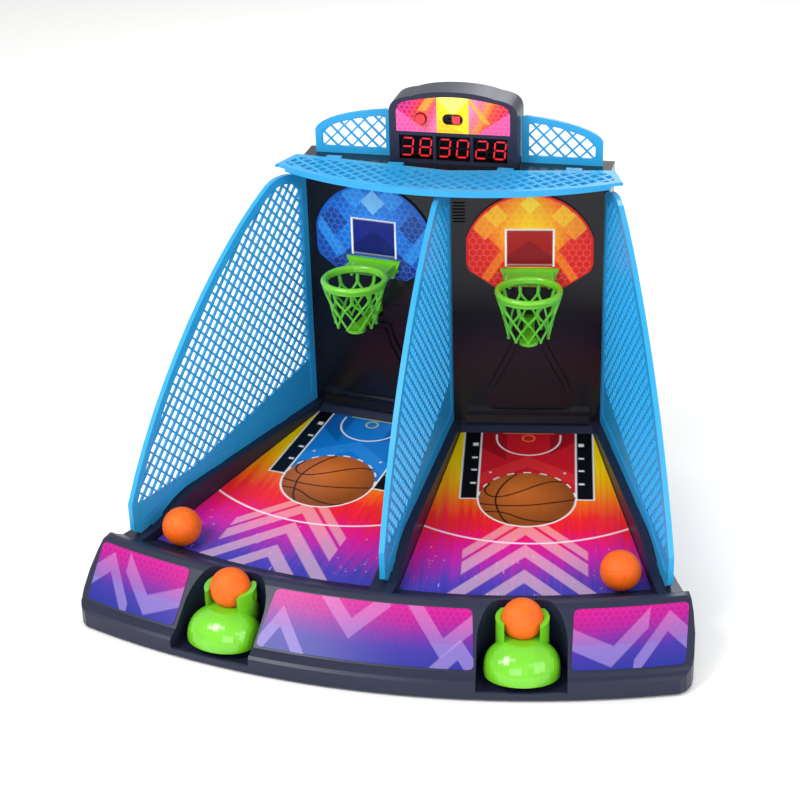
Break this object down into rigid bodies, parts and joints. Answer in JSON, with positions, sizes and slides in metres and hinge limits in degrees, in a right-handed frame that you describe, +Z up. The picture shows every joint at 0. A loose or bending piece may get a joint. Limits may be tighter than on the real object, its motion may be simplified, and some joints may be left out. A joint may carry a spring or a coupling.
{
  "type": "tabletop basketball hoop machine",
  "caption": "Tabletop basketball arcade game: fanned courts with spring launchers, netted hoops, score paddles, lattice side panels, visor and an electronic scoreboard.",
  "frame": {"origin": "middle of the whole object's box, on the surface it stands on", "axes": "+X to the right as the players see it, +Y away from the players, +Z up"},
  "size_m": [0.514, 0.4176, 0.3741],
  "materials": {
    "navy_abs": "satin",
    "rubber": "matte",
    "steel": "polished",
    "court_print_blue": "printed card, glossy",
    "court_print_red": "printed card, glossy",
    "console_print": "printed label, glossy",
    "sky_blue_pp": "semi-gloss",
    "board_print_blue": "printed, glossy",
    "board_print_orange": "printed, glossy",
    "lime_abs": "glossy",
    "lime_net": "soft moulded",
    "orange_pvc": "pebbled",
    "scoreboard_print": "printed label",
    "smoked_lens": "smoked",
    "circuit_board": "solder mask",
    "black_plastic": "satin",
    "red_abs": "glossy",
    "speaker_card": "paper cone",
    "cell_wrap": "film sleeve",
    "plated_steel": "plated"
  },
  "bodies": {
    "cabinet": {"base_shell": "navy_abs", "bottom_cover": "navy_abs", "rubber_feet": "rubber", "cover_screws": "steel", "court_board_left": "court_print_blue", "court_board_right": "court_print_red", "console_label_left": "console_print", "console_label_middle": "console_print", "console_label_right": "console_print", "side_panel_left": "sky_blue_pp", "side_panel_right": "sky_blue_pp", "middle_panel": "sky_blue_pp", "wall_front": "navy_abs", "wall_cover": "navy_abs", "wall_screws": "steel", "backboard_left": "board_print_blue", "backboard_right": "board_print_orange", "hoop_left": "lime_abs", "hoop_right": "lime_abs", "net_left": "lime_net", "net_right": "lime_net", "paddle_pins": "steel", "score_switches": "black_plastic", "launcher_axles": "steel", "launcher_springs": "steel", "visor": "sky_blue_pp", "wing_left": "sky_blue_pp", "wing_right": "sky_blue_pp", "scoreboard_front": "navy_abs", "scoreboard_back": "navy_abs", "scoreboard_label": "scoreboard_print", "display_window": "smoked_lens", "display_board": "circuit_board", "digit_modules": "black_plastic", "reset_switch": "black_plastic", "power_switch": "black_plastic", "speaker": "speaker_card", "battery_cells": "cell_wrap", "battery_contacts": "plated_steel"},
    "launcher_left": {"launcher_left": "lime_abs"},
    "launcher_right": {"launcher_right": "lime_abs"},
    "ball_launcher_left": {"ball_launcher_left": "orange_pvc"},
    "ball_launcher_right": {"ball_launcher_right": "orange_pvc"},
    "ball_court_left": {"ball_court_left": "orange_pvc"},
    "ball_court_right": {"ball_court_right": "orange_pvc"},
    "score_paddle_left": {"score_paddle_left": "lime_abs"},
    "score_paddle_right": {"score_paddle_right": "lime_abs"},
    "reset_button": {"reset_button": "red_abs"},
    "power_slider": {"power_slider": "red_abs"},
    "battery_door": {"battery_door": "navy_abs", "battery_door_screw": "steel"}
  },
  "joints": [
    {"name": "launcher_left_press", "type": "hinge", "parent": "cabinet", "child": "launcher_left", "pos_m": [-0.11982, -0.14108, 0.014], "axis": [0.9879, -0.1554, 0], "range_deg": [0, 5], "stiffness_Nm_per_rad": 0.3, "springref_deg": -17.19},
    {"name": "ball_launcher_left_lift", "type": "slide", "parent": "launcher_left", "child": "ball_launcher_left", "axis": [0, 0, 1], "range_m": [0, 0.06]},
    {"name": "ball_court_left_lift", "type": "slide", "parent": "cabinet", "child": "ball_court_left", "axis": [0, 0, 1], "range_m": [0, 0.06]},
    {"name": "score_paddle_left_dip", "type": "hinge", "parent": "cabinet", "child": "score_paddle_left", "pos_m": [-0.07087, 0.1701, 0.166], "axis": [0.9879, -0.1554, 0], "range_deg": [0, 8], "stiffness_Nm_per_rad": 0.01, "springref_deg": -17.19},
    {"name": "launcher_right_press", "type": "hinge", "parent": "cabinet", "child": "launcher_right", "pos_m": [0.11982, -0.14108, 0.014], "axis": [0.9879, 0.1554, 0], "range_deg": [0, 5], "stiffness_Nm_per_rad": 0.3, "springref_deg": -17.19},
    {"name": "ball_launcher_right_lift", "type": "slide", "parent": "launcher_right", "child": "ball_launcher_right", "axis": [0, 0, 1], "range_m": [0, 0.06]},
    {"name": "ball_court_right_lift", "type": "slide", "parent": "cabinet", "child": "ball_court_right", "axis": [0, 0, 1], "range_m": [0, 0.06]},
    {"name": "score_paddle_right_dip", "type": "hinge", "parent": "cabinet", "child": "score_paddle_right", "pos_m": [0.07087, 0.1701, 0.166], "axis": [0.9879, 0.1554, 0], "range_deg": [0, 8], "stiffness_Nm_per_rad": 0.01, "springref_deg": -17.19},
    {"name": "reset_button_press", "type": "slide", "parent": "cabinet", "child": "reset_button", "axis": [0, 1, 0], "range_m": [0, 0.001], "stiffness_N_per_m": 200, "springref_m": -0.002},
    {"name": "power_slider_travel", "type": "slide", "parent": "cabinet", "child": "power_slider", "axis": [-1, 0, 0], "range_m": [0, 0.006]},
    {"name": "battery_door_lift", "type": "slide", "parent": "cabinet", "child": "battery_door", "axis": [0, 1, 0], "range_m": [0, 0.03]}
  ]
}
